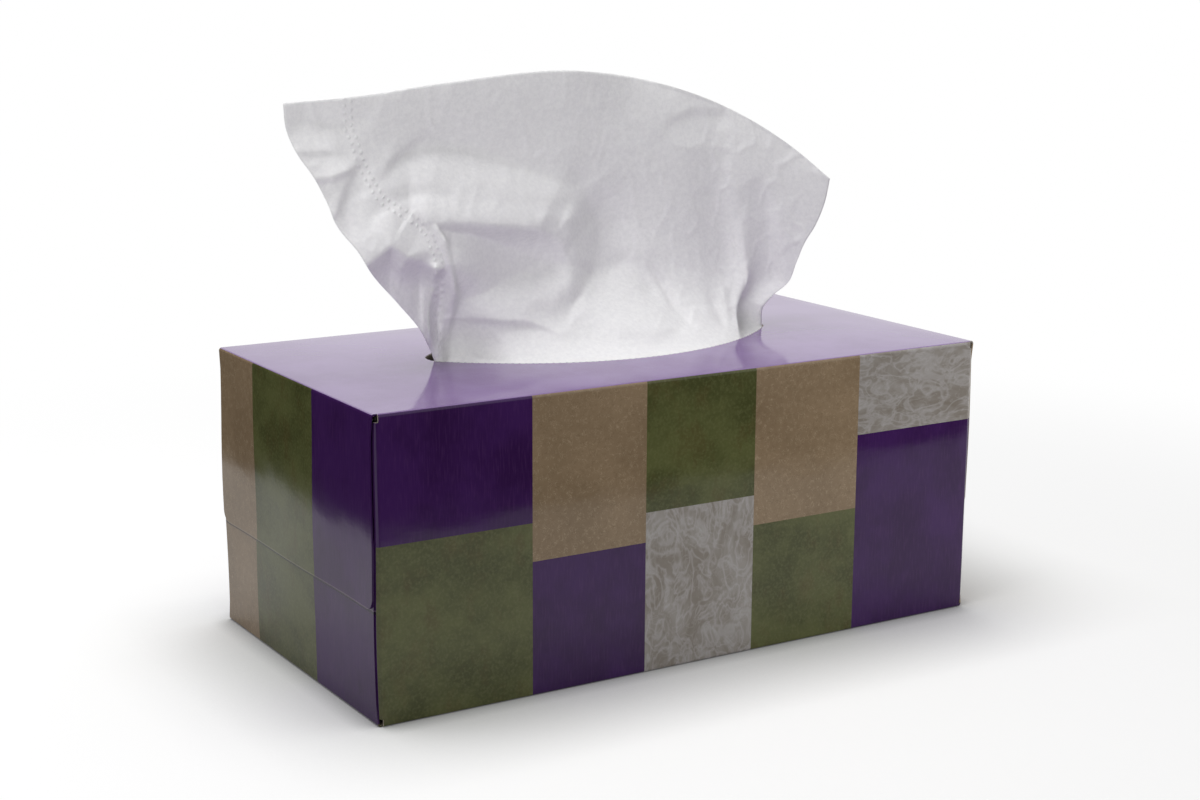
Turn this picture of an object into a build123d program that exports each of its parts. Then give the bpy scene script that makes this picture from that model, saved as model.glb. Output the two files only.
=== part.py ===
import os
from math import cos, exp, hypot, inf, pi, sin, sqrt

from build123d import *

# A flat carton of facial tissues, opened, with its first sheet pulled up.
# Frame: origin at the middle of the base, X along the length, Y to the back, Z up. Millimetres.

# Carton: outside sizes, board and folds
carton_length = 230
carton_depth = 120
carton_height = 96
board = 0.5
fold_inner_radius = 0.5

# End flaps, outermost first: the top one over the bottom one over two dust flaps
top_flap_length = 60
bottom_flap_length = 60
flap_root_gap = 0.8
flap_side_gap = 1.6
flap_taper_length = 6
flap_corner_radius = 4
dust_flap_length = 45
dust_root_gap = 1.5
dust_taper = 10

# Glue flap along the lower back edge, inside the back panel
glue_flap_width = 14
glue_flap_taper = 8

# Dispensing opening in the top panel: two large arcs that meet in rounded ends
opening_half_length = 66.5
opening_half_width = 32
opening_end_radius = 8

# Interfolded clip of tissues: the room around it in the carton
stack_end_clearance = 8
stack_side_clearance = 7
headspace = 11
stack_edge_radius = 2.5

# Pulled sheet: where its foot lies on the clip, and how its free edge stands above the top panel
sheet_gauge = 0.3
foot_inset = 6
seat_clearance = 0.3
rim_clearance = 2.2
left_reach = 113
right_reach = 96
crown_offset = -11
left_rise = 85.5
crown_rise = 92.5
right_rise = 52
crown_lean = 4
corner_lean = -5
fold_lift = 14

# One overrun serves all cuts
overrun = 5

half_length = carton_length / 2
half_depth = carton_depth / 2
fold_outer_radius = fold_inner_radius + board
bottom_flap_face = half_length - board
dust_flap_face = bottom_flap_face - board
tube_half_length = dust_flap_face - fold_outer_radius
stack_length = carton_length - 2 * (board + stack_end_clearance)
stack_depth = carton_depth - 2 * (board + stack_side_clearance)
stack_height = carton_height - 2 * board - headspace
stack_top = board + stack_height
sheet_width = stack_length


def bent_panel(plane, face, fold, turn, drop, half_width):
    """The end of a panel, bent over its fold: an L section in the plane, drawn out to both sides of it."""
    run = face - tube_half_length + overrun
    side = Align.MAX if turn > 0 else Align.MIN
    inner_corner = (face - board, fold - turn * board)
    with BuildPart() as panel:
        with BuildSketch(plane) as section:
            with Locations((face, fold)):
                Rectangle(run, drop, align=(Align.MAX, side))
            with Locations(inner_corner):
                Rectangle(run, drop, align=(Align.MAX, side), mode=Mode.SUBTRACT)
            fillet(section.vertices().sort_by_distance((face, fold))[0], fold_outer_radius)
            fillet(section.vertices().sort_by_distance(inner_corner)[0], fold_inner_radius)
        extrude(amount=half_width, both=True)
    return panel.part


def cut_to_outline(panel, corners, rounded):
    """The bent panel, cut to a flap's outline as seen from the end of the carton."""
    with BuildPart() as flap:
        add(panel)
        with BuildSketch(Plane.YZ) as outline:
            with BuildLine():
                Polyline(*corners, close=True)
            make_face()
            for corner in rounded:
                fillet(outline.vertices().sort_by_distance(corner)[0], flap_corner_radius)
        extrude(amount=carton_length, mode=Mode.INTERSECT)
    return flap.part


def end_flap(face, fold, turn, drop):
    """Top or bottom flap of one end: full width at its fold, then eased back to clear the corners."""
    root_half = half_depth - flap_root_gap
    side_half = half_depth - flap_side_gap
    taper_start = fold - turn * fold_outer_radius
    taper_end = taper_start - turn * flap_taper_length
    tip = fold - turn * drop
    back_side = [
        (root_half, fold + turn * overrun),
        (root_half, taper_start),
        (side_half, taper_end),
        (side_half, tip),
    ]
    front_side = [(-y, z) for y, z in reversed(back_side)]
    panel = bent_panel(Plane.XZ, face, fold, turn, drop, half_depth)
    return cut_to_outline(panel, back_side + front_side, [(side_half, tip), (-side_half, tip)])


def dust_flap(fold, turn):
    """Front or back dust flap of one end, tapered towards its tip, behind the other two flaps."""
    low = fold_outer_radius + dust_root_gap
    high = carton_height - low
    tip = fold - turn * dust_flap_length
    corners = [
        (fold + turn * overrun, low),
        (fold - turn * fold_outer_radius, low),
        (tip, low + dust_taper),
        (tip, high - dust_taper),
        (fold - turn * fold_outer_radius, high),
        (fold + turn * overrun, high),
    ]
    middle = Plane.XY.offset(carton_height / 2)
    panel = bent_panel(middle, dust_flap_face, fold, turn, dust_flap_length, carton_height / 2)
    return cut_to_outline(panel, corners, [corners[2], corners[3]])


# Carton: a glued tube of four panels, closed at each end by its four flaps, with the opening torn out
flaps = [
    end_flap(half_length, carton_height, 1, top_flap_length),
    end_flap(bottom_flap_face, 0, -1, bottom_flap_length),
    dust_flap(half_depth, 1),
    dust_flap(-half_depth, -1),
]
arc_offset = opening_half_width - opening_end_radius
arc_radius = (
    (opening_half_length - opening_end_radius) ** 2 + opening_half_width**2 - opening_end_radius**2
) / (2 * arc_offset)
arc_centre = arc_radius - opening_half_width

with BuildPart() as carton:
    with BuildSketch(Plane.YZ):
        with Locations((0, carton_height / 2)):
            RectangleRounded(carton_depth, carton_height, fold_outer_radius)
            RectangleRounded(
                carton_depth - 2 * board,
                carton_height - 2 * board,
                fold_inner_radius,
                mode=Mode.SUBTRACT,
            )
    extrude(amount=tube_half_length, both=True)
    with BuildSketch(Plane.XZ.offset(board - half_depth)):
        with BuildLine():
            Polyline(
                (0, board),
                (tube_half_length, board),
                (tube_half_length - glue_flap_taper, board + glue_flap_width),
                (0, board + glue_flap_width),
                close=True,
            )
        make_face()
    extrude(amount=board)
    for flap in flaps:
        add(flap)
    mirror(about=Plane.YZ)
    with BuildSketch(Plane.XY.offset(carton_height + overrun)) as opening:
        with Locations((0, arc_centre)):
            Circle(arc_radius)
        with Locations((0, -arc_centre)):
            Circle(arc_radius, mode=Mode.INTERSECT)
        fillet(opening.vertices(), opening_end_radius)
    extrude(amount=-(board + 2 * overrun), mode=Mode.SUBTRACT)
carton.part.label = "carton"

# Tissue stack: the interfolded clip on the bottom panel, its long sides rounded where the sheets fold
with BuildPart() as tissue_stack:
    with BuildSketch(Plane.YZ):
        with Locations((0, board + stack_height / 2)):
            RectangleRounded(stack_depth, stack_height, stack_edge_radius)
    extrude(amount=stack_length / 2, both=True)
tissue_stack.part.label = "tissue_stack"

# Pulled tissue: shares and powers that shape the sheet between its foot, the opening's rim and its free edge.
# Across the sheet, places go from -1 at its left side to 1. Up it, the rim is 0 and the free edge is 1.
gather_share = 0.55
gather_angle = 1.25
pleats = 1
pleat_swing_share = 1.3
crown_share = -0.06
left_fall_power = 1.25
right_fall_power = 1.7
flare_share = 0.12
apron_power = 5
climb_power_below = 1.2
climb_power_gain_below = 1.8
climb_power_above = 1.25
climb_power_gain_above = -0.3
slope_share = 0.002
fold_power = 1.6
fold_start_share = 0.1
columns = 48
rows_below_rim = 4
rows_above_rim = 22

# Main folds that the pull has left in the standing sheet. Each is a line of places across and up the sheet,
# with the share of the full lift towards the front there, and how far it fades above and below its line.
lip_shares = [(-0.65, 0.57, 0.8), (-0.35, 0.57, 0.85), (-0.2, 0.56, 0.75), (-0.1, 0.52, 0.4)]
lip_fade_shares = (0.2, 0.1)
brow_shares = [(-1, 0.44, 0.75), (-0.9, 0.48, 0.95), (-0.8, 0.46, 1), (-0.7, 0.44, 1)]
brow_fade_shares = (0.26, 0.1)
strip_shares = [(-0.68, 0.55, 0.85), (-0.66, 0.45, 0.9), (-0.64, 0.35, 0.8), (-0.63, 0.25, 0.4)]
strip_fade_shares = (0.07, 0.09)
swelling_shares = [(-0.55, 0.2, 0.2), (-0.3, 0.23, 0.35), (-0.1, 0.25, 0.3)]
swelling_fade_shares = (0.09, 0.09)
shoulders = [
    (lip_shares, lip_fade_shares),
    (brow_shares, brow_fade_shares),
    (strip_shares, strip_fade_shares),
    (swelling_shares, swelling_fade_shares),
]
edge_roll_shares = [(-1, 1, 0.35), (-0.5, 1, 0.4), (0, 1, 0.2)]
edge_roll_fade_shares = (0.15, 0.15)
band_valley_shares = [(-0.75, 0.72, -0.1), (-0.5, 0.76, -0.3), (-0.25, 0.7, -0.3), (-0.05, 0.63, -0.15)]
band_valley_fade_shares = (0.09, 0.09)
middle_valley_shares = [(0.02, 0.62, -0.1), (0.1, 0.5, -0.4), (0.1, 0.36, -0.35), (0.02, 0.27, -0.1)]
middle_valley_fade_shares = (0.12, 0.1)
right_valley_shares = [(0.55, 0.8, -0.1), (0.52, 0.65, -0.2), (0.58, 0.4, -0.35), (0.62, 0.2, -0.2)]
right_valley_fade_shares = (0.05, 0.1)
valleys = [
    (edge_roll_shares, edge_roll_fade_shares),
    (band_valley_shares, band_valley_fade_shares),
    (middle_valley_shares, middle_valley_fade_shares),
    (right_valley_shares, right_valley_fade_shares),
]

end_centre = opening_half_length - opening_end_radius
arc_end = end_centre * arc_radius / (arc_radius - opening_end_radius)


def between(first, second, share):
    """The point that lies a share of the way from the first point to the second."""
    return [a + (b - a) * s for a, b, s in zip(first, second, share)]


def fold_share(line, fades, across, up):
    """The share of the full lift that a fold gives at a place: most on its line, fading to its two sides."""
    nearest = inf
    for (across_0, up_0, lift_0), (across_1, up_1, lift_1) in zip(line, line[1:]):
        run, climb = across_1 - across_0, up_1 - up_0
        along = ((across - across_0) * run + (up - up_0) * climb) / (run**2 + climb**2)
        along = min(max(along, 0), 1)
        aside, above = across - across_0 - along * run, up - up_0 - along * climb
        distance = hypot(aside, above)
        if distance < nearest:
            nearest = distance
            turn = (run * above - climb * aside) / (hypot(run, climb) * distance) if distance else 0
            fade = (fades[0] * (1 + turn) + fades[1] * (1 - turn)) / 2
            share = (lift_0 + (lift_1 - lift_0) * along) * exp(-((distance / fade) ** fold_power))
    return share


def foot_point(across):
    """The sheet's foot, flat on the clip near its front folds."""
    lift = seat_clearance + sheet_gauge / 2
    return (across * sheet_width / 2, foot_inset - stack_depth / 2, stack_top + lift)


def rim_point(across):
    """The sheet in the opening: along the front arc, then pleated between both arcs towards the ends."""
    x = (opening_half_length - rim_clearance) * sin(across * gather_angle) / sin(gather_angle)
    if abs(x) < arc_end:
        slot = sqrt(arc_radius**2 - x**2) - arc_centre
    else:
        slot = sqrt(opening_end_radius**2 - (abs(x) - end_centre) ** 2)
    turns = pleats * max(0, (abs(across) - gather_share) / (1 - gather_share))
    swing = pleat_swing_share * (1 - cos(2 * pi * turns)) / 2
    return (x, (rim_clearance - slot) * (1 - swing), carton_height - board / 2)


def edge_point(across):
    """The sheet's free edge: level on the left, highest near the middle and falling away on the right."""
    if across < crown_share:
        share = (crown_share - across) / (crown_share + 1)
        x = crown_offset - (left_reach + crown_offset) * share
        rise = crown_rise - (crown_rise - left_rise) * share**left_fall_power
    else:
        share = (across - crown_share) / (1 - crown_share)
        x = crown_offset + (right_reach - crown_offset) * share
        rise = crown_rise - (crown_rise - right_rise) * share**right_fall_power
    return (x, crown_lean + (corner_lean - crown_lean) * across**2, carton_height + rise)


def sheet_point(across, up):
    """One point of the pulled sheet."""
    rim = rim_point(across)
    if up < 0:
        share = max(0, 1 + up)
        climb = share ** (climb_power_below + climb_power_gain_below * across**2)
        return Vector(*between(foot_point(across), rim, (share, share, climb)))
    climb = up ** (climb_power_above + climb_power_gain_above * across**2)
    flare = climb + flare_share * sin(pi * climb**2)
    back = 1 - (1 - up) ** apron_power
    x, y, z = between(rim, edge_point(across), (flare, back, climb))
    forward = max(fold_share(*fold, across, up) for fold in shoulders)
    forward += sum(fold_share(*fold, across, up) for fold in valleys)
    return Vector(x, y - fold_lift * forward * min(1, up / fold_start_share), z)


def sheet_rows(lift):
    """Rows of points on the sheet's middle surface, or to one side of it by the lift, from its foot upwards."""
    rows = []
    for step in range(-rows_below_rim, rows_above_rim + 1):
        up = step / (rows_above_rim if step > 0 else rows_below_rim)
        row = []
        for column in range(columns + 1):
            across = 2 * column / columns - 1
            along = sheet_point(across + slope_share, up) - sheet_point(across - slope_share, up)
            climb = sheet_point(across, up + slope_share) - sheet_point(across, up - slope_share)
            row.append(sheet_point(across, up) + along.cross(climb).normalized() * lift)
        rows.append(row)
    return rows


def facets(rows):
    """Flat triangles between rows of points."""
    faces = []
    for row, next_row in zip(rows, rows[1:]):
        for corner, beside, above, opposite in zip(row, row[1:], next_row, next_row[1:]):
            faces.append(Face(Wire.make_polygon([corner, beside, opposite])))
            faces.append(Face(Wire.make_polygon([corner, opposite, above])))
    return faces


# Pulled tissue: one crumpled sheet, closed from the facets of its two sides and of the cut edges between them
front_rows = sheet_rows(sheet_gauge / 2)
back_rows = sheet_rows(-sheet_gauge / 2)
cut_edges = [
    [front_rows[0], back_rows[0]],
    [front_rows[-1], back_rows[-1]],
    [[row[0] for row in front_rows], [row[0] for row in back_rows]],
    [[row[-1] for row in front_rows], [row[-1] for row in back_rows]],
]
sheet_faces = facets(front_rows) + facets(back_rows)
for rows in cut_edges:
    sheet_faces += facets(rows)
with BuildPart() as pulled_tissue:
    add(Solid(Shell(sheet_faces)))
pulled_tissue.part.label = "pulled_tissue"

os.makedirs("parts", exist_ok=True)
export_step(carton.part, "parts/carton.step")
export_step(tissue_stack.part, "parts/tissue_stack.step")
export_step(pulled_tissue.part, "parts/pulled_tissue.step")
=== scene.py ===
from math import atan2, ceil, copysign, cos, pi, radians, sin

import bmesh
import bpy
import numpy as np
from mathutils import Matrix, Vector, noise


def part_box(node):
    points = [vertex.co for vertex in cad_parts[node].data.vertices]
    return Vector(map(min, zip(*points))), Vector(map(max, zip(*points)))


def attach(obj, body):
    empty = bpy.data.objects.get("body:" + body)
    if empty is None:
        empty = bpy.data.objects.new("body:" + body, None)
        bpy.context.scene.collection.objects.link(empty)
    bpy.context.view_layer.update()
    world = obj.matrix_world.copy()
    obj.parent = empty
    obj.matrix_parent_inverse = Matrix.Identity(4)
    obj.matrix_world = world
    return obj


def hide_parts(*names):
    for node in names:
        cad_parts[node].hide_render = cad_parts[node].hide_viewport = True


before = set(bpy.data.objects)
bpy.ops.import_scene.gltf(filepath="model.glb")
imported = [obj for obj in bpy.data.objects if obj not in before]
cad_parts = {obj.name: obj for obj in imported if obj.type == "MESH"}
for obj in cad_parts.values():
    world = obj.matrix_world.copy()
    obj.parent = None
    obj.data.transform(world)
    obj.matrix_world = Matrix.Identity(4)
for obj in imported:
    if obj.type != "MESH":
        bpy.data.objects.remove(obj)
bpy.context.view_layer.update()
mm = 0.001

# Camera: the photograph's viewpoint, in front of the carton's left corner and a little above its top panel.
# Its focal length and place come from the carton's corners in the picture.
picture_width_px = 1200
focal_length_px = 2041.9
azimuth = radians(-31.747)
elevation = radians(12.368)
roll = radians(0.313)
camera_distance = 718.58 * mm
camera_rise = 74.63 * mm

camera_back = Vector((sin(azimuth) * cos(elevation), -cos(azimuth) * cos(elevation), sin(elevation)))
level = Vector((cos(azimuth), sin(azimuth), 0))
upright = camera_back.cross(level)
camera_right = level * cos(roll) + upright * sin(roll)
camera_up = upright * cos(roll) - level * sin(roll)
viewpoint = camera_back * camera_distance + camera_up * camera_rise

camera = bpy.data.objects.new("camera", bpy.data.cameras.new("camera"))
camera.data.lens = camera.data.sensor_width * focal_length_px / picture_width_px
turn = Matrix((camera_right, camera_up, camera_back)).transposed().to_4x4()
camera.matrix_world = Matrix.Translation(viewpoint) @ turn
bpy.context.scene.collection.objects.link(camera)
bpy.context.scene.camera = camera

# Carton: one die-cut blank of grey board, printed as a patchwork of coloured papers and varnished.
# It is folded into a tube, glued along the lower back edge and closed at both ends by glued flaps.
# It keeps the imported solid's form, cut into small fields so that a slight bow can follow it.
carton_low, carton_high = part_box("carton")
length = carton_high.x - carton_low.x
depth = carton_high.y - carton_low.y
height = carton_high.z - carton_low.z
opening_half_length = 66.5 * mm
opening_half_width = 32 * mm
opening_end_radius = 8 * mm
tear_pitch = 2.2 * mm
tear_depth = 0.45 * mm
tear_step = 0.37 * mm
edge_tolerance = 0.1 * mm
print_depth = 1.1 * mm
field_size = 7.5 * mm
top_bow = 1.5 * mm
flap_lift = 0.7 * mm

carton_mesh = bmesh.new()
carton_mesh.from_mesh(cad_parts["carton"].data)
bmesh.ops.remove_doubles(carton_mesh, verts=carton_mesh.verts, dist=0.002 * mm)
bmesh.ops.dissolve_limit(
    carton_mesh, angle_limit=radians(0.2), verts=carton_mesh.verts, edges=carton_mesh.edges
)
for axis in range(3):
    low = carton_low[axis]
    span = carton_high[axis] - low
    cuts = round(span / field_size)
    for cut in range(1, cuts):
        place = Vector((0, 0, 0))
        place[axis] = low + span * cut / cuts
        direction = Vector((0, 0, 0))
        direction[axis] = 1
        bmesh.ops.bisect_plane(
            carton_mesh,
            geom=carton_mesh.verts[:] + carton_mesh.edges[:] + carton_mesh.faces[:],
            dist=0.001 * mm,
            plane_co=place,
            plane_no=direction,
        )

# The opening's edge, two large arcs with rounded ends: ties of torn board between the perforation's cuts
end_centre = opening_half_length - opening_end_radius
arc_radius = (end_centre**2 + opening_half_width**2 - opening_end_radius**2) / (
    2 * (opening_half_width - opening_end_radius)
)
arc_centre = arc_radius - opening_half_width
arc_end = end_centre * arc_radius / (arc_radius - opening_end_radius)


def from_opening(place):
    """A place's offset from the centre of the nearest arc of the opening's edge, and that arc's radius."""
    if abs(place.x) < arc_end:
        return Vector((place.x, place.y + copysign(arc_centre, place.y), 0)), arc_radius
    return Vector((place.x - copysign(end_centre, place.x), place.y, 0)), opening_end_radius


def on_edge(vert):
    """Whether a corner of the mesh lies on the opening's edge."""
    offset, radius = from_opening(vert.co)
    return vert.co.z > height - print_depth and abs(offset.length - radius) < edge_tolerance


def along_edge(edge):
    """Whether a line of the mesh runs along the opening's edge, on the board's upper or lower side."""
    first, second = edge.verts
    return on_edge(first) and on_edge(second) and abs(first.co.z - second.co.z) < edge_tolerance


edge_lines = [edge for edge in carton_mesh.edges if along_edge(edge)]
edge_points = {}
for edge in edge_lines:
    start = min(edge.verts, key=lambda vert: tuple(vert.co))
    pieces = ceil(edge.calc_length() / tear_step)
    for piece in range(pieces, 1, -1):
        start = bmesh.utils.edge_split(edge, start, 1 / piece)[1]
        plan = (round(start.co.x / mm, 2), round(start.co.y / mm, 2))
        edge_points.setdefault(plan, []).append(start)
for upper_and_lower in edge_points.values():
    if len(upper_and_lower) == 2:
        bmesh.ops.connect_vert_pair(carton_mesh, verts=upper_and_lower)
for vert in carton_mesh.verts:
    if on_edge(vert):
        offset, radius = from_opening(vert.co)
        run = radius * atan2(offset.y, offset.x)
        tie = max(0, cos(2 * pi * run / tear_pitch)) ** 3
        vert.co += offset.normalized() * (radius - tear_depth * tie - offset.length)


def printed_side(normal, place):
    """The carton side that a face is printed with, or None for bare board, inside and at the opening's edge.
    The upright sides' print goes over the folds, and at the ends it covers the flaps' cut edges."""
    if normal.z > 0.8 and place.z > height - print_depth:
        return "top"
    if normal.z < -0.8 and place.z < print_depth:
        return "base"
    if normal.y < -0.2 and place.y < print_depth - depth / 2:
        return "front"
    if normal.y > 0.2 and place.y > depth / 2 - print_depth:
        return "back"
    if place.x < print_depth - length / 2 and normal.x < 0.5:
        return "left"
    if place.x > length / 2 - print_depth and normal.x > -0.5:
        return "right"
    return None


carton_sides = ["top", "base", "front", "back", "left", "right", None]
for face in carton_mesh.faces:
    face.material_index = carton_sides.index(printed_side(face.normal, face.calc_center_median()))
    face.smooth = True
for edge in carton_mesh.edges:
    edge.smooth = edge.is_manifold and edge.calc_face_angle() < radians(30)

# The top panel bows up a little, and the end flaps don't lie quite flat
for vert in carton_mesh.verts:
    x, y, z = vert.co
    across = 2 * y / depth
    along = 2 * x / length
    if z > height - print_depth:
        vert.co.z += top_bow * max(0, 1 - abs(along) ** 3) * max(0, 1 - across**2)
    if abs(x) > length / 2 - print_depth and 0 < z < height:
        up = z / height
        wave = sin(pi * up) * (0.6 + 0.4 * sin(5 * across + 7 * up + along))
        vert.co.x += flap_lift * wave * along

carton_data = bpy.data.meshes.new("printed_carton")
carton_mesh.to_mesh(carton_data)
carton_mesh.free()
printed_carton = bpy.data.objects.new("printed_carton", carton_data)
bpy.context.scene.collection.objects.link(printed_carton)
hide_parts("carton")
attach(printed_carton, "root")


class Socket:
    """An output socket in a material. Arithmetic on it adds Math nodes, and node() adds any other node."""

    def __init__(self, tree, output):
        self.tree = tree
        self.output = output

    def node(self, kind, settings=None, sockets=None, output=0):
        """A new node's output: its settings are set first, then its sockets' values or links."""
        added = self.tree.nodes.new(kind)
        for name, value in (settings or {}).items():
            setattr(added, name, value)
        for name, value in (sockets or {}).items():
            if isinstance(value, Socket):
                self.tree.links.new(value.output, added.inputs[name])
            else:
                added.inputs[name].default_value = value
        return Socket(self.tree, added.outputs[output])

    def math(self, operation, first, second=0.0):
        return self.node("ShaderNodeMath", {"operation": operation}, {0: first, 1: second})

    def __add__(self, other):
        return self.math("ADD", self, other)

    def __radd__(self, other):
        return self.math("ADD", other, self)

    def __sub__(self, other):
        return self.math("SUBTRACT", self, other)

    def __rsub__(self, other):
        return self.math("SUBTRACT", other, self)

    def __mul__(self, other):
        return self.math("MULTIPLY", self, other)

    def __rmul__(self, other):
        return self.math("MULTIPLY", other, self)

    def __gt__(self, other):
        return self.math("GREATER_THAN", self, other)

    def __lt__(self, other):
        return self.math("LESS_THAN", self, other)

    def near(self, value, width):
        """1 where this equals the value, falling to 0 at the width away from it."""
        return 1 - self.math("ABSOLUTE", self - value) * (1 / width)

    def step(self, low, high):
        """0 where the value is below low, 1 above high, and an even curve between."""
        return self.node(
            "ShaderNodeMapRange",
            {"interpolation_type": "SMOOTHSTEP"},
            {"Value": self, "From Min": low, "From Max": high},
        )

    def mix(self, first, second):
        """The first colour where this value is 0, the second where it is 1."""
        return self.node("ShaderNodeMix", {"data_type": "RGBA"}, {0: self, 6: first, 7: second}, 2)

    def axis(self, number):
        """One axis of this place: 0 for X, 1 for Y and 2 for Z."""
        return self.node("ShaderNodeSeparateXYZ", None, {0: self}, number)

    def noise(self, stretch, detail=3.0, roughness=0.5, swirl=0.0):
        """A cloudy value about this place, with features of about 1 mm times the stretch in X, Y and Z."""
        scale = [1 / (share * mm) for share in stretch]
        moved = self.node("ShaderNodeVectorMath", {"operation": "MULTIPLY"}, {0: self, 1: scale})
        return self.node(
            "ShaderNodeTexNoise",
            None,
            {"Vector": moved, "Scale": 1.0, "Detail": detail, "Roughness": roughness, "Distortion": swirl},
        )


def colour(code):
    """A colour from its six-figure screen code, as Blender's linear values."""
    parts = [int(code[first : first + 2], 16) / 255 for first in (0, 2, 4)]
    return [part / 12.92 if part <= 0.04045 else ((part + 0.055) / 1.055) ** 2.4 for part in parts] + [1.0]


def new_material(name, constants):
    """A material with its shader's constant values, its shader node and its Object coordinates."""
    material = bpy.data.materials.new(name)
    material.use_nodes = True
    shader = material.node_tree.nodes["Principled BSDF"]
    for socket, value in constants.items():
        shader.inputs[socket].default_value = value
    coordinates = material.node_tree.nodes.new("ShaderNodeTexCoord")
    return material, shader, Socket(material.node_tree, coordinates.outputs["Object"])


def connect(source, shader, name):
    """Links a socket to one of the shader's inputs."""
    source.tree.links.new(source.output, shader.inputs[name])


def purple_paper(place, deep, middle, pale):
    """Purple, a little cloudy, with a faint laid texture."""
    cloud = place.noise((26, 26, 30), 5.0, 0.6)
    laid = place.noise((0.5, 0.5, 6), 2.0)
    base = cloud.step(0.35, 0.65).mix(colour(deep), colour(middle))
    return (laid.step(0.45, 0.75) * 0.3).mix(base, colour(pale))


def green_paper(place):
    """Moss green, mottled darker and browner in blotches."""
    cloud = place.noise((22, 22, 18), 5.0, 0.6)
    stain = place.noise((9, 9, 16), 5.0, 0.7)
    grain = place.noise((0.9, 0.9, 0.9), 3.0)
    base = cloud.step(0.35, 0.65).mix(colour("424526"), colour("575a36"))
    stained = (stain.step(0.5, 0.7) * 0.5).mix(base, colour("4e4326"))
    return (grain.step(0.4, 0.75) * 0.4).mix(stained, colour("686a46"))


def fibres(place, stretch):
    """Fine curling lines, broken into short lengths."""
    lines = place.noise(stretch, 1.0, 0.5, 2.0).near(0.5, 0.06)
    breaks = place.noise([1.3 * size for size in stretch], 1.0)
    return lines.step(0.0, 1.0) * breaks.step(0.4, 0.6)


def kraft_paper(place):
    """Brown packing paper with short pale and dark fibres lying in all directions."""
    cloud = place.noise((25, 25, 25), 3.0)
    base = cloud.step(0.3, 0.7).mix(colour("7d6a53"), colour("89755d"))
    pale = (fibres(place, (1.4, 1.4, 1.6)) * 0.45).mix(base, colour("ab9a80"))
    return (fibres(place, (1.9, 1.9, 1.5)) * 0.35).mix(pale, colour("62503b"))


def marbled_paper(place, stretch):
    """Crumpled grey paper: soft warm hollows under fine pale creases that curl along the stretch."""
    hollow = place.noise([1.5 * size for size in stretch], 4.0, 0.6, 1.0)
    base = hollow.step(0.3, 0.7).mix(colour("7c746b"), colour("928d88"))
    broad = place.noise(stretch, 2.0, 0.5, 1.5).near(0.5, 0.1)
    fine = place.noise([0.6 * size for size in stretch], 2.0, 0.5, 1.5).near(0.55, 0.05)
    creased = (broad.step(0.0, 1.0) * 0.4).mix(base, colour("aeabab"))
    return (fine.step(0.0, 1.0) * 0.2).mix(creased, colour("b4b1b1"))


def finish_print(material, shader, place, ink):
    """The print's colour, and the varnish over the board's slight unevenness."""
    connect(ink, shader, "Base Color")
    sway = place.noise((45, 45, 22), 2.0)
    grain = place.noise((2.5, 2.5, 1.2), 3.0)
    bump = place.node(
        "ShaderNodeBump", None, {"Strength": 1.0, "Distance": 0.2 * mm, "Height": sway + grain * 0.03}
    )
    connect(bump, shader, "Normal")
    return material


flap_edge = 36 * mm
flap_misfit = 2 * mm
past_side = 1.0


def patchwork(name, axis, direction, columns, varnish, flap=False):
    """A carton side printed as columns, each a field of one paper over a field of another.
    A column is its end, from the side's middle, its split, as a share of the height, and its two papers.
    At an end, the print doesn't quite fit where the upper flap's edge crosses it, and the edge shows as a
    painted pale highlight line with a painted shadow line under it."""
    material, shader, place = new_material(name, varnish)
    across = place.axis(axis) * direction
    up = place.axis(2)
    if flap:
        across = across + (up < flap_edge) * flap_misfit
    papers = {
        "purple": purple_paper(place, "301442", "3b1c52", "50305f"),
        "green": green_paper(place),
        "kraft": kraft_paper(place),
        "marble": marbled_paper(place, (7, 7, 10)),
        "marble_lying": marbled_paper(place, (12, 12, 6)),
    }
    ink = papers["purple"]
    start = -past_side
    for end, height_share, upper, lower in columns:
        column = (across > start) * (across < end)
        above = up > height_share * height
        ink = (column * above).mix(ink, papers[upper])
        ink = (column * (1 - above)).mix(ink, papers[lower])
        start = end
    if flap:
        # Painted highlight: a thin pale line just above the upper flap's edge; painted shadow: a dark line
        # just under it
        painted_edge_highlight = up.near(flap_edge + 0.25 * mm, 0.3 * mm).step(0.0, 0.6)
        painted_edge_shadow = up.near(flap_edge - 0.4 * mm, 0.6 * mm).step(0.0, 0.8)
        ink = (painted_edge_highlight * 0.2).mix(ink, colour("a89c98"))
        ink = (painted_edge_shadow * 0.7).mix(ink, colour("100a12"))
    return finish_print(material, shader, place, ink)


long_side = [
    (-61.6 * mm, 0.583, "purple", "green"),
    (-20.2 * mm, 0.454, "kraft", "purple"),
    (21.9 * mm, 0.556, "green", "marble"),
    (64.4 * mm, 0.45, "kraft", "green"),
    (past_side, 0.714, "marble_lying", "purple"),
]
short_side = [
    (-30 * mm, 0.0, "kraft", "kraft"),
    (17 * mm, 0.0, "green", "green"),
    (past_side, 0.0, "purple", "purple"),
]


def plain_print(name):
    """A carton side printed all over in a lighter purple."""
    material, shader, place = new_material(name, {"Roughness": 0.1, "IOR": 1.52})
    return finish_print(material, shader, place, purple_paper(place, "75598c", "7f6497", "8b72a2"))


def bare_board(name):
    """The board's grey unprinted side and its cut edges."""
    material, shader, place = new_material(name, {"Roughness": 0.85})
    fibre = place.noise((1.2, 0.4, 0.4), 3.0)
    connect(fibre.step(0.3, 0.7).mix(colour("a89c8c"), colour("bfb6a8")), shader, "Base Color")
    return material


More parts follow.
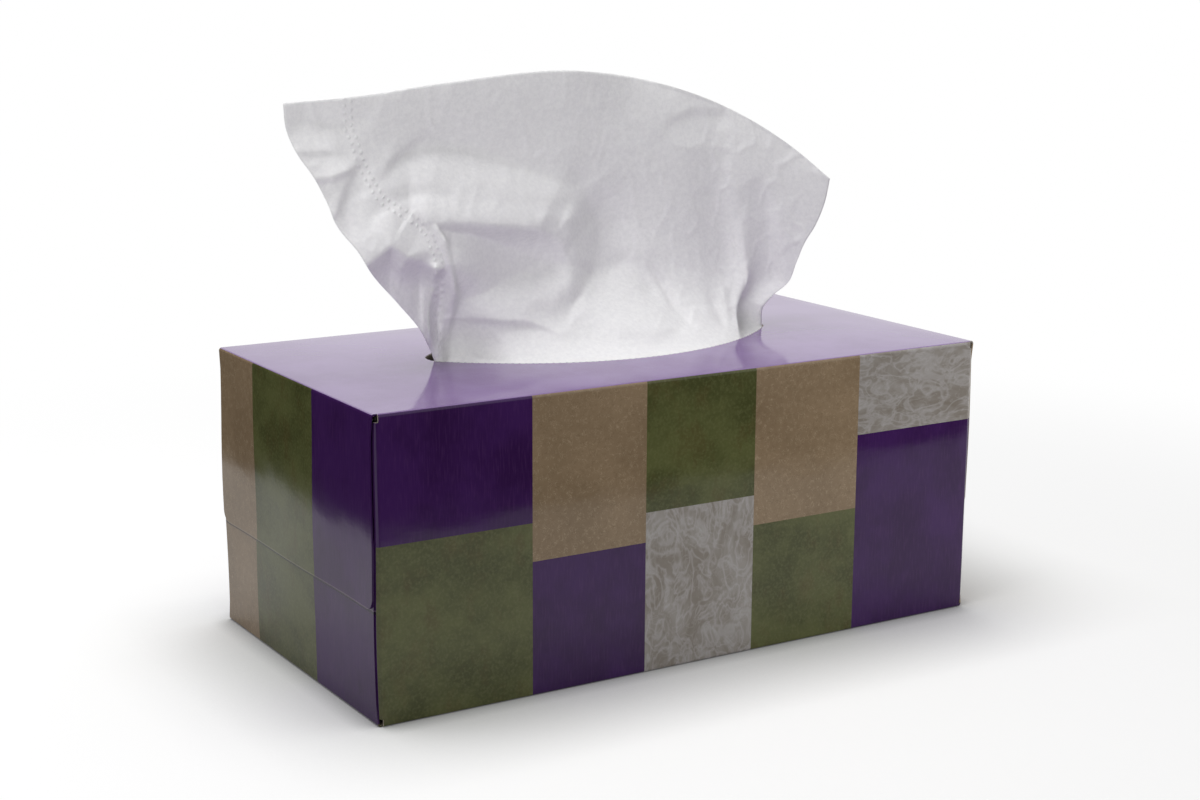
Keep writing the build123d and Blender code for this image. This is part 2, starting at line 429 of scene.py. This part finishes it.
side_varnish = {"Roughness": 0.1, "IOR": 1.36}
end_varnish = {"Roughness": 0.1, "IOR": 1.25}
carton_finishes = {
    "top": plain_print("print_top"),
    "base": plain_print("print_base"),
    "front": patchwork("print_front", 0, 1, long_side, side_varnish),
    "back": patchwork("print_back", 0, -1, long_side, side_varnish),
    "left": patchwork("print_left", 1, -1, short_side, end_varnish, flap=True),
    "right": patchwork("print_right", 1, 1, short_side, end_varnish, flap=True),
    None: bare_board("bare_board"),
}
for side in carton_sides:
    carton_data.materials.append(carton_finishes[side])

# Tissue stack: the clip of interfolded tissues on the carton's bottom panel, of soft white crepe paper.
# Each sheet is folded once and laid into the fold of the next, so the long sides show rounded folds.
stack_low, stack_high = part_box("tissue_stack")
stack_layers = 28
top_edge_y = 7 * mm
top_edge_sway = 2 * mm
top_edge_run = 38 * mm
top_edge_drop = 0.5 * mm
wrinkle_depth = 0.35 * mm
wrinkle_length = 11 * mm
wrinkle_width = 7 * mm
wrinkle_bend = 9 * mm
wrinkle_slant = 31 * mm
tuck_depth = 0.5 * mm
tuck_run = 45 * mm
tuck_turn = 2.4
tuck_power = 12
stack_mesh = bmesh.new()
bmesh.ops.create_grid(stack_mesh, x_segments=72, y_segments=60, size=0.5)
stack_size = stack_high - stack_low
for vert in stack_mesh.verts:
    vert.co = Vector((vert.co.x * stack_size.x, vert.co.y * stack_size.y, stack_low.z))
layer_height = stack_size.z / stack_layers
for layer in range(stack_layers):
    half_below = stack_low.z + (layer - 0.5) * layer_height
    upper_faces = [face for face in stack_mesh.faces if face.calc_center_median().z > half_below]
    grown = bmesh.ops.extrude_face_region(stack_mesh, geom=upper_faces)
    if layer > 0:
        bmesh.ops.delete(stack_mesh, geom=upper_faces, context="FACES")
    raised = [item for item in grown["geom"] if isinstance(item, bmesh.types.BMVert)]
    bmesh.ops.translate(stack_mesh, verts=raised, vec=(0, 0, layer_height))
bmesh.ops.recalc_face_normals(stack_mesh, faces=stack_mesh.faces)

# The top sheet is wrinkled and ends at a swaying edge, and the folds at the long sides lie unevenly
for vert in stack_mesh.verts:
    x, y, z = vert.co
    if z > stack_high.z - layer_height / 2:
        bend = 1.3 * sin(y / wrinkle_bend)
        ripple = sin(x / wrinkle_length + bend) * cos(y / wrinkle_width + x / wrinkle_slant)
        vert.co.z -= wrinkle_depth * (1 + ripple)
        if y > top_edge_y + top_edge_sway * sin(x / top_edge_run):
            vert.co.z -= top_edge_drop
    layer = round((z - stack_low.z) / layer_height)
    tuck = tuck_depth * (1 + sin(tuck_turn * layer + x / tuck_run))
    vert.co.y -= copysign(tuck, y) * (2 * abs(y) / stack_size.y) ** tuck_power
for face in stack_mesh.faces:
    face.smooth = True
stack_data = bpy.data.meshes.new("folded_stack")
stack_mesh.to_mesh(stack_data)
stack_mesh.free()
folded_stack = bpy.data.objects.new("folded_stack", stack_data)
bpy.context.scene.collection.objects.link(folded_stack)
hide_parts("tissue_stack")
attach(folded_stack, "root")

crepe_paper = {
    "Roughness": 0.9,
    "Specular IOR Level": 0.15,
    "Subsurface Weight": 0.6,
    "Subsurface Radius": (1, 1, 1),
    "Subsurface Scale": 0.6 * mm,
}

# The embossed dots that hold the plies together, in millimetres, and their height beside the crepe's
dot_row = 1.1
dot_pitch = 2.4
dot_radius = 0.9
dot_height = 9.0


def tissue_paper(name, dots_map=None):
    """White crepe tissue: fine short wrinkles across the sheet and a little cloudiness.
    A dots map tells each place how far it lies from the two rows of dots, and how far along them."""
    material, shader, place = new_material(name, crepe_paper)
    cloud = place.noise((1.4, 1.4, 1.4), 4.0, 0.7)
    connect(cloud.step(0.3, 0.7).mix(colour("e6e5e7"), colour("f0eff0")), shader, "Base Color")
    relief = place.noise((0.8, 0.8, 0.5), 3.0)
    if dots_map:
        mapped = place.node("ShaderNodeUVMap", {"uv_map": dots_map})
        for row, shift in ((-dot_row, 0.0), (dot_row, 0.5)):
            off_row = mapped.axis(0) - row
            off_dot = (place.math("FRACT", mapped.axis(1) * (1 / dot_pitch) + shift) - 0.5) * dot_pitch
            off = place.math("SQRT", off_dot * off_dot + off_row * off_row)
            relief = relief + (1 - off * (1 / dot_radius)).step(0.0, 1.0) * dot_height
    bump = place.node("ShaderNodeBump", None, {"Strength": 1.0, "Distance": 0.024 * mm, "Height": relief})
    connect(bump, shader, "Normal")
    return material


stack_data.materials.append(tissue_paper("stack_tissue"))

# Pulled tissue: the top sheet of the clip, drawn up through the opening by its loose half and left standing.
# The opening gathers it to both ends, and above it the crepe paper keeps the folds that the pull made.
sheet_width = stack_size.x
sheet_columns = 256
rows_below = 24
rows_above = 140
sheet_gauge = 0.25 * mm
rim_gap = 1.2 * mm
rim_bow_share = 0.6
foot_inset = 6 * mm
seat_gap = 0.6 * mm
gather_angle = 1.25
gather_share = 0.55
pleats = 1.0
pleat_swing = 1.3
apron_power = 5.0
middle_climb_power = 1.2
added_climb_power = 1.8
fold_onset = 12
crinkle_height = 0.3
crinkle_width = 0.15
crinkle_x = 11
crinkle_z = 14
crown_lean = 4 * mm
corner_lean = -5 * mm

# The sheet's outline as the camera sees it, in millimetres on the upright plane through the opening's middle
left_side = [
    (-68.5, 100), (-72.5, 109.5), (-80.5, 119.5), (-89, 129.5), (-92.5, 135.5), (-100, 145.5),
    (-102, 151), (-106.5, 160), (-111, 166.5), (-114, 174), (-114.4, 181.5),
]
right_side = [
    (63.5, 98), (64, 104), (69.5, 108.5), (77, 113), (80, 118.5),
    (84.5, 126), (89, 131), (94, 139.5), (96.5, 147.5),
]
free_edge = [
    (-114.4, 181.5), (-92, 182.6), (-57, 186.3), (-11, 188.7),
    (14.6, 185.4), (47.6, 175.8), (78, 160.4), (96.5, 147.5),
]


def along_curve(points, shares):
    """Places at shares of the length of a smooth curve through the points."""
    points = np.array(points, float)
    steps = np.linalg.norm(np.diff(points, axis=0), axis=1)
    knots = np.concatenate([[0], np.cumsum(steps)]) / steps.sum()
    slopes = np.gradient(points, knots, axis=0)
    index = np.clip(np.searchsorted(knots, shares, side="right") - 1, 0, len(knots) - 2)
    span = (knots[index + 1] - knots[index])[:, None]
    share = (np.asarray(shares) - knots[index])[:, None] / span
    start = points[index] * (1 + 2 * share) + slopes[index] * span * share
    end = points[index + 1] * (3 - 2 * share) - slopes[index + 1] * span * (1 - share)
    return start * (1 - share) ** 2 + end * share**2


def seen_place(points):
    """Where the camera sees points, in millimetres on the upright plane through the opening's middle."""
    share = -viewpoint.y / (points[:, 1] - viewpoint.y)
    x = viewpoint.x + (points[:, 0] - viewpoint.x) * share
    z = viewpoint.z + (points[:, 2] - viewpoint.z) * share
    return np.stack([x, z], 1) / mm


def place_behind(seen, y):
    """The points at depth y that the camera sees at those places of the plane."""
    share = 1 - y / viewpoint.y
    x = viewpoint.x + (seen[:, 0] * mm - viewpoint.x) * share
    z = viewpoint.z + (seen[:, 1] * mm - viewpoint.z) * share
    return np.stack([x, y, z], 1)


sheet_mesh = bmesh.new()
bmesh.ops.create_grid(sheet_mesh, x_segments=sheet_columns, y_segments=rows_below + rows_above, size=1)
grid = np.array([vert.co for vert in sheet_mesh.verts])
across = grid[:, 0]
rim_row = rows_below / (rows_below + rows_above)
climb_share = (grid[:, 1] + 1) / 2
up = np.where(climb_share < rim_row, climb_share / rim_row - 1, (climb_share - rim_row) / (1 - rim_row))

# Where the sheet passes the opening: along its front arc, then pleated between both arcs towards the ends
rim_x = (opening_half_length - rim_gap) * np.sin(across * gather_angle) / sin(gather_angle)
slot_arc = np.sqrt(np.maximum(arc_radius**2 - rim_x**2, 0)) - arc_centre
slot_end = np.sqrt(np.maximum(opening_end_radius**2 - (np.abs(rim_x) - end_centre) ** 2, 0))
slot = np.where(np.abs(rim_x) < arc_end, slot_arc, slot_end)
rim_y = rim_gap - slot
rim_z = np.full_like(rim_x, height + rim_bow_share * top_bow)
rim = np.stack([rim_x, rim_y, rim_z], 1)
turns = pleats * np.maximum(0, np.abs(across) - gather_share) / (1 - gather_share)
pleat_y = -rim_y * pleat_swing * (1 - np.cos(2 * pi * turns)) / 2

# Above it: the four sides of the outline, blended over the sheet as the camera sees it
side_share = (across + 1) / 2
rise = np.clip(up, 0, 1)
bottom = seen_place(rim)
top = along_curve(free_edge, side_share)
left = along_curve(left_side, rise)
right = along_curve(right_side, rise)
low_left = np.array(left_side[0])
low_right = np.array(right_side[0])
high_left = np.array(free_edge[0])
high_right = np.array(free_edge[-1])
to_right = side_share[:, None]
to_top = rise[:, None]
low_line = low_left * (1 - to_right) + low_right * to_right
high_line = high_left * (1 - to_right) + high_right * to_right
corners = low_line * (1 - to_top) + high_line * to_top
seen = bottom * (1 - to_top) + top * to_top + left * (1 - to_right) + right * to_right - corners
edge_y = crown_lean + (corner_lean - crown_lean) * across**2
sheet_y = rim_y + (edge_y - rim_y) * (1 - (1 - rise) ** apron_power)


def beside(line):
    """For each place of the sheet: its distance from a line on the plane, its side of it, from 1 on the left
    to -1, how far along the line it lies, in millimetres, and the line's third value there."""
    nearest = np.full(len(seen), np.inf)
    side, along, value = np.zeros((3, len(seen)))
    passed = 0
    for (x0, z0, value0), (x1, z1, value1) in zip(line, line[1:]):
        step_x, step_z = x1 - x0, z1 - z0
        run = np.hypot(step_x, step_z)
        off_x, off_z = seen[:, 0] - x0, seen[:, 1] - z0
        share = np.clip((off_x * step_x + off_z * step_z) / run**2, 0, 1)
        off_x = off_x - share * step_x
        off_z = off_z - share * step_z
        distance = np.maximum(np.hypot(off_x, off_z), 1e-6)
        closer = distance < nearest
        side = np.where(closer, (step_x * off_z - step_z * off_x) / (run * distance), side)
        along = np.where(closer, passed + share * run, along)
        value = np.where(closer, value0 + (value1 - value0) * share, value)
        nearest = np.minimum(distance, nearest)
        passed += run
    return nearest, side, along, value


def fold(line, left_width, right_width, sharpness=2.0):
    """How far a fold lifts each place of the sheet towards the camera, in millimetres. The line's points are
    places on the plane with the lift there, and the widths are how far it fades to each side of the line."""
    distance, side, _, lift = beside(line)
    width = right_width + (left_width - right_width) * (1 + side) / 2
    return lift * np.exp(-((distance / width) ** sharpness))


# The broad forms that stand forward, of which the foremost shows
shoulders = [
    # lip of the hollow, with the swelling above it
    fold(
        [(-63.5, 142, 14), (-51.5, 141, 14), (-39, 139.5, 14),
         (-24.5, 137.5, 12.5), (-19, 134.5, 9), (-13.5, 129, 3)],
        20, 6, 1.6,
    ),
    # strip that runs down from the lip's left corner
    fold(
        [(-63.5, 142, 14), (-59.5, 135.5, 16), (-57, 127.5, 15.5),
         (-55, 118.5, 12), (-54.5, 110, 6), (-55, 101, 2)],
        1.8, 9, 1.5,
    ),
    # brow over the left gather
    fold(
        [(-92.5, 127, 7), (-88.5, 129.5, 11), (-78.5, 135.5, 16), (-73, 131.5, 15.5),
         (-67, 129.5, 15.5), (-62, 126.5, 15), (-59, 126, 14)],
        25, 6, 1.4,
    ),
    # swellings under the hollow and right of it
    fold([(-53, 112.5, 3), (-34, 114, 5), (-14.5, 116, 5)], 9, 8),
    fold([(-6.5, 109, 4), (3.5, 105, 4), (19.5, 97.5, 3)], 10, 6),
]

# The folds and creases that add to them
folds = [
    # free edge: leaning forward on the left, curled back on the right
    fold([(-114, 181, 3), (-92, 183, 5), (-57, 186, 6), (-11, 189, 4), (10, 186, 0)], 16, 16),
    fold([(-5, 189, 0), (17, 185, -4), (52, 174, -5), (78, 160, -3), (97, 148, 0)], 9, 9, 1.1),
    # valley under the upper band, and the ridge beside it on the left
    fold(
        [(-83, 157.5, -1), (-78.5, 161.5, -3), (-72.5, 164.5, -4), (-61.5, 165.5, -4.5),
         (-49.5, 163, -4.5), (-34, 158.5, -4), (-21, 154, -3), (-8, 150, -1.5)],
        7, 4, 1.6,
    ),
    fold([(-83, 157, 1), (-78.5, 163, 3), (-73, 167, 3), (-67.5, 170, 1.5), (-61.5, 171.5, 0.5)], 5, 2, 1.5),
    # upright valley right of the swelling, and the neck beside it
    fold([(-7, 150, -2), (-4, 143, -6), (0, 136, -8), (-0.5, 124.5, -7), (-7, 113, -3)], 13, 6),
    fold([(-12.5, 139.5, 2), (-14, 128.5, 3), (-11, 118.5, 2), (-7, 112.5, 0)], 5, 4),
    # faint creases along the swelling
    fold([(-65, 148, -0.2), (-44.5, 147, -0.4), (-23, 145.5, -0.4), (-12.5, 142, 0)], 3, 3),
    fold([(-88, 142.5, 0), (-83.5, 146, -1), (-76, 149.5, -1.2), (-69, 151, -1), (-58, 150, -0.8)], 3, 2),
    # wrinkles near the left side
    fold(
        [(-113.5, 172, -1), (-106.5, 176, -2.5), (-100.5, 174.5, -2.5), (-94.5, 174, -2), (-88, 176.5, -1)],
        5, 4,
    ),
    fold([(-111.5, 166.5, 0.5), (-102, 166.5, 0.9), (-96, 166, 0.2)], 3, 1),
    fold([(-107.5, 158, 2.5), (-99, 158, 3.5), (-93.5, 160, 3), (-91, 162, 1)], 9, 1.5, 1.5),
    fold([(-91, 161.5, 0.5), (-95.5, 154, 2), (-98, 147, 1.5), (-100, 144, 0)], 1.3, 4),
    fold(
        [(-86.5, 155.5, 0), (-92, 152, -1.2), (-94.5, 147.5, -1.5), (-93.5, 142, -1), (-92.5, 137, 0)],
        3, 2,
    ),
    # left gather: pleats that run up from the opening's tip
    fold([(-77.5, 132.5, 0), (-75, 128, 2), (-73, 123.5, 0)], 2, 2),
    fold([(-66.5, 128.5, -2), (-67.5, 122, -3), (-68, 114.5, -3), (-68.5, 106, -1)], 3, 3),
    fold([(-62, 126.5, 2), (-64.5, 114, 4.5), (-65.5, 107.5, 4), (-66, 100.5, 1)], 1.6, 1.6, 1.5),
    fold([(-60, 124.5, -1), (-59, 118, -3), (-60, 109.5, -3), (-61.5, 103, -1)], 2.2, 2.2),
    fold([(-62, 109, 0), (-57.5, 109, 1), (-54, 108.5, 0.5)], 1, 1),
    # crest of the apron
    fold([(-54, 109, 0.8), (-45.5, 108.5, 1.6), (-28.5, 106.5, 2), (-15.5, 101, 1)], 4, 1.2, 1.3),
    fold([(-15.5, 101, 0.8), (-10.5, 105.5, 1), (-6.5, 109, 0.8)], 3, 4, 1.3),
    fold([(-1, 120.5, -1), (8, 124, -1.5), (13.5, 122, -1), (19.5, 114, -1)], 4, 3),
    # right wall: soft upright valleys with a ridge between them, under a shallow arch
    fold(
        [(53, 168, 0), (47.5, 161, -1.5), (45, 153, -2.5), (46, 145, -3.5),
         (49, 133, -4), (51, 119, -3.5), (52, 102, -2)],
        7, 9,
    ),
    fold([(61, 149, 0), (64, 144, -1.5), (67.5, 137.5, -2.5), (69.5, 128, -3), (73, 113, -2.5)], 4, 8),
    fold([(58, 133, 0.5), (60, 118.5, 2), (62, 107.5, 2)], 3, 3),
    fold([(22.5, 161.5, 0), (28, 169.5, -1), (36.5, 172, -1.6), (48.5, 171.5, -1.5), (53, 168, -0.5)], 2, 8),
    # right gather
    fold([(60.5, 118, 0.5), (64, 108.5, 1.8), (63, 99, 1.2)], 1.6, 1.6),
    fold([(48, 117, 0), (51, 108.5, 1), (53, 100, 0.6)], 1.3, 2.2, 1.5),
    fold([(36, 106, 0), (43, 103.5, 1.2), (49.5, 98, 0.5)], 1.5, 2.2, 1.5),
    fold([(42, 112, 0), (46, 106, -1), (50.5, 98.5, -0.8)], 1.4, 1.4),
    fold([(20, 121, -1), (24, 115, -2.5), (30, 106, -2.5), (37.5, 98.5, -1)], 2.5, 1.5),
    fold([(9, 123, -0.8), (20.5, 112.5, -1.5), (32.5, 99.5, -1)], 3, 3),
]

# The paper's crinkles: small ridges all over it, where a cloudy value crosses zero
cloud = np.array([noise.fractal((x / crinkle_x, z / crinkle_z, 0.5), 1.0, 2.0, 2) for x, z in seen])
crinkles = crinkle_height * np.exp(-((cloud / crinkle_width) ** 2))
lift = (np.max(shoulders, 0) + np.sum(folds, 0) + crinkles) * np.clip(rise * fold_onset, 0, 1)
above = place_behind(seen, sheet_y)
to_camera = np.array(viewpoint) - above
to_camera /= np.linalg.norm(to_camera, axis=1)[:, None]
above += to_camera * (lift * mm)[:, None]
above[:, 1] += pleat_y * (1 - rise) ** apron_power
rim[:, 1] += pleat_y

# Below it: down to the foot, flat on the clip near its front folds
foot = np.stack(
    [
        across * sheet_width / 2,
        np.full_like(across, stack_low.y + foot_inset),
        np.full_like(across, stack_high.z + seat_gap),
    ],
    1,
)
climb = np.clip(1 + up, 0, 1)[:, None]
climb_z = climb ** (middle_climb_power + added_climb_power * across[:, None] ** 2)
below = foot + (rim - foot) * np.concatenate([climb, climb, climb_z], 1)
places = np.where(up[:, None] < 0, below, above)
for vert, place in zip(sheet_mesh.verts, places):
    vert.co = place

# The rows of embossed dots run down near the left side and over the folds
dots_line = [
    (-93, 186, 0), (-93, 173, 0), (-91, 169, 0), (-89.5, 163.5, 0), (-87.5, 159, 0), (-84.5, 154, 0),
    (-82, 150, 0), (-69, 142, 0), (-65.5, 138.5, 0), (-62, 130.5, 0), (-60.5, 121.5, 0), (-61, 95, 0),
]
dots_distance, dots_side, dots_along = beside(dots_line)[:3]
dots_map = sheet_mesh.loops.layers.uv.new("dots")
sheet_mesh.verts.index_update()
for face in sheet_mesh.faces:
    face.smooth = True
    for loop in face.loops:
        index = loop.vert.index
        loop[dots_map].uv = (dots_distance[index] * dots_side[index], dots_along[index])
sheet_data = bpy.data.meshes.new("pulled_sheet")
sheet_mesh.to_mesh(sheet_data)
sheet_mesh.free()
pulled_sheet = bpy.data.objects.new("pulled_sheet", sheet_data)
bpy.context.scene.collection.objects.link(pulled_sheet)
thickness = pulled_sheet.modifiers.new("thickness", "SOLIDIFY")
thickness.thickness = sheet_gauge
thickness.offset = 0
sheet_data.materials.append(tissue_paper("sheet_tissue", "dots"))
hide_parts("pulled_tissue")
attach(pulled_sheet, "root")

# Floor and light: a pale floor under a broad softbox, in a white surround that the camera and varnish see.
# The floor's seen colour is painted darker where the carton stands on it, a painted shadow from ambient
# occlusion, and turns to the surround's white farther away.
# Two small lights add to the softbox, one on the carton alone and one on the pulled sheet alone.
floor_half = 4.0
shadow_reach = 0.2
white_reach = 0.5
contact_reach = 60 * mm
touch_reach = 8 * mm
bounce_tone = 0.68
floor_tone = 0.96
contact_shadow_tone = 0.32
touch_shadow_tone = 0.08
contact_share = 0.9
veil_share = 0.08
fill = 0.27
floor_mesh = bmesh.new()
bmesh.ops.create_grid(floor_mesh, x_segments=8, y_segments=8, size=floor_half)
floor_data = bpy.data.meshes.new("floor")
floor_mesh.to_mesh(floor_data)
floor_mesh.free()
floor = bpy.data.objects.new("floor", floor_data)
bpy.context.scene.collection.objects.link(floor)


def shown_rays(tree):
    """1 for rays that show the surround: straight from the camera, off gloss or through glass."""
    rays = tree.nodes.new("ShaderNodeLightPath")
    names = ("Is Camera Ray", "Is Glossy Ray", "Is Transmission Ray")
    straight, glossy, through = (Socket(tree, rays.outputs[name]) for name in names)
    return straight.math("MAXIMUM", straight.math("MAXIMUM", straight, glossy), through)


def grey(value):
    """A neutral colour of that linear value."""
    return (value, value, value, 1)


floor_material, floor_shader, floor_place = new_material(
    "pale_floor", {"Base Color": grey(bounce_tone), "Roughness": 1.0, "Specular IOR Level": 0.0}
)
floor_tree = floor_material.node_tree
shown = shown_rays(floor_tree)
reach = floor_place.node("ShaderNodeVectorMath", {"operation": "LENGTH"}, {0: floor_place}, 1)
far = reach.step(shadow_reach, white_reach)
white = shown.node("ShaderNodeEmission", None, {"Color": grey(1), "Strength": shown})
veil = shown.node("ShaderNodeEmission", None, {"Color": grey(1), "Strength": shown * veil_share})
# Painted shadow: ambient occlusion darkens the seen floor's colour near the carton, broadly and where it
# touches
closeness = 1 - shown.node("ShaderNodeAmbientOcclusion", {"samples": 8}, {"Distance": contact_reach}, 1)
touch = 1 - shown.node("ShaderNodeAmbientOcclusion", {"samples": 8}, {"Distance": touch_reach}, 1)
painted_shadow_colour = (closeness * contact_share).mix(grey(floor_tone), grey(contact_shadow_tone))
painted_shadow_colour = (touch * contact_share).mix(painted_shadow_colour, grey(touch_shadow_tone))
lit = shown.node("ShaderNodeBsdfDiffuse", None, {"Color": painted_shadow_colour})
near = shown.node("ShaderNodeAddShader", None, {0: lit, 1: veil})
seen_floor = shown.node("ShaderNodeMixShader", None, {0: far, 1: near, 2: white})

# Rays that light the scene meet a plain grey floor, and rays that show it meet its tones with the painted
# shadow
lighting_floor = Socket(floor_tree, floor_shader.outputs[0])
sweep = shown.node("ShaderNodeMixShader", None, {0: shown, 1: lighting_floor, 2: seen_floor})
floor_tree.links.new(sweep.output, floor_tree.nodes["Material Output"].inputs["Surface"])
floor_data.materials.append(floor_material)

softbox = bpy.data.lights.new("softbox", "AREA")
softbox.shape = "RECTANGLE"
softbox.size = 1.4
softbox.size_y = 1.0
softbox.energy = 17.5
softbox_object = bpy.data.objects.new("softbox", softbox)
softbox_object.location = (-0.28, 0.14, 1.4)
bpy.context.scene.collection.objects.link(softbox_object)


def small_light(name, energy, place, target, piece):
    """A small soft light on one piece alone, so that the floor keeps the softbox's shadow."""
    light = bpy.data.lights.new(name, "AREA")
    light.size = 0.4
    light.energy = energy
    light_object = bpy.data.objects.new(name, light)
    light_object.location = place
    light_object.rotation_euler = (Vector(target) - Vector(place)).to_track_quat("-Z", "Y").to_euler()
    light_object.visible_glossy = False
    bpy.context.scene.collection.objects.link(light_object)
    reach = bpy.data.collections.new(name + "_reach")
    reach.objects.link(piece)
    light_object.light_linking.receiver_collection = reach


small_light("carton_light", 1.15, (0.34, -0.3, 0.1), (0, 0, 0.05), printed_carton)
small_light("sheet_light", 2.4, (-0.5, -0.6, 0.48), (0, 0, 0.14), pulled_sheet)

world = bpy.data.worlds.new("surround")
bpy.context.scene.world = world
world.use_nodes = True
background = world.node_tree.nodes["Background"]
background.inputs["Color"].default_value = grey(1)
strength = fill + shown_rays(world.node_tree) * (1 - fill)
world.node_tree.links.new(strength.output, background.inputs["Strength"])

# Flags: two dark cards, one standing left of the carton and one lying in front of it.
# Only reflections see them, so that the upright sides keep their depth of colour.


def dark_card(name, corner, along, up):
    """A dark card from its corner and two sides, seen in reflections only."""
    card_mesh = bmesh.new()
    bmesh.ops.create_grid(card_mesh, x_segments=2, y_segments=2, size=0.5)
    for vert in card_mesh.verts:
        vert.co = Vector(corner) + Vector(along) * (vert.co.x + 0.5) + Vector(up) * (vert.co.y + 0.5)
    card_data = bpy.data.meshes.new(name)
    card_mesh.to_mesh(card_data)
    card_mesh.free()
    card = bpy.data.objects.new(name, card_data)
    card.visible_camera = False
    card.visible_diffuse = False
    card.visible_shadow = False
    card.visible_transmission = False
    card_data.materials.append(card_material)
    bpy.context.scene.collection.objects.link(card)


card_material = new_material(
    "dark_card", {"Base Color": grey(0.02), "Roughness": 1.0, "Specular IOR Level": 0.0}
)[0]
dark_card("left_flag", (-0.205, 0.0, 0), (0, 0.9, 0), (0, 0, 0.6))
dark_card("front_flag", (-0.6, -0.247, 0.001), (1.6, 0, 0), (0, -0.9, 0))

bpy.context.scene.view_settings.view_transform = "Standard"
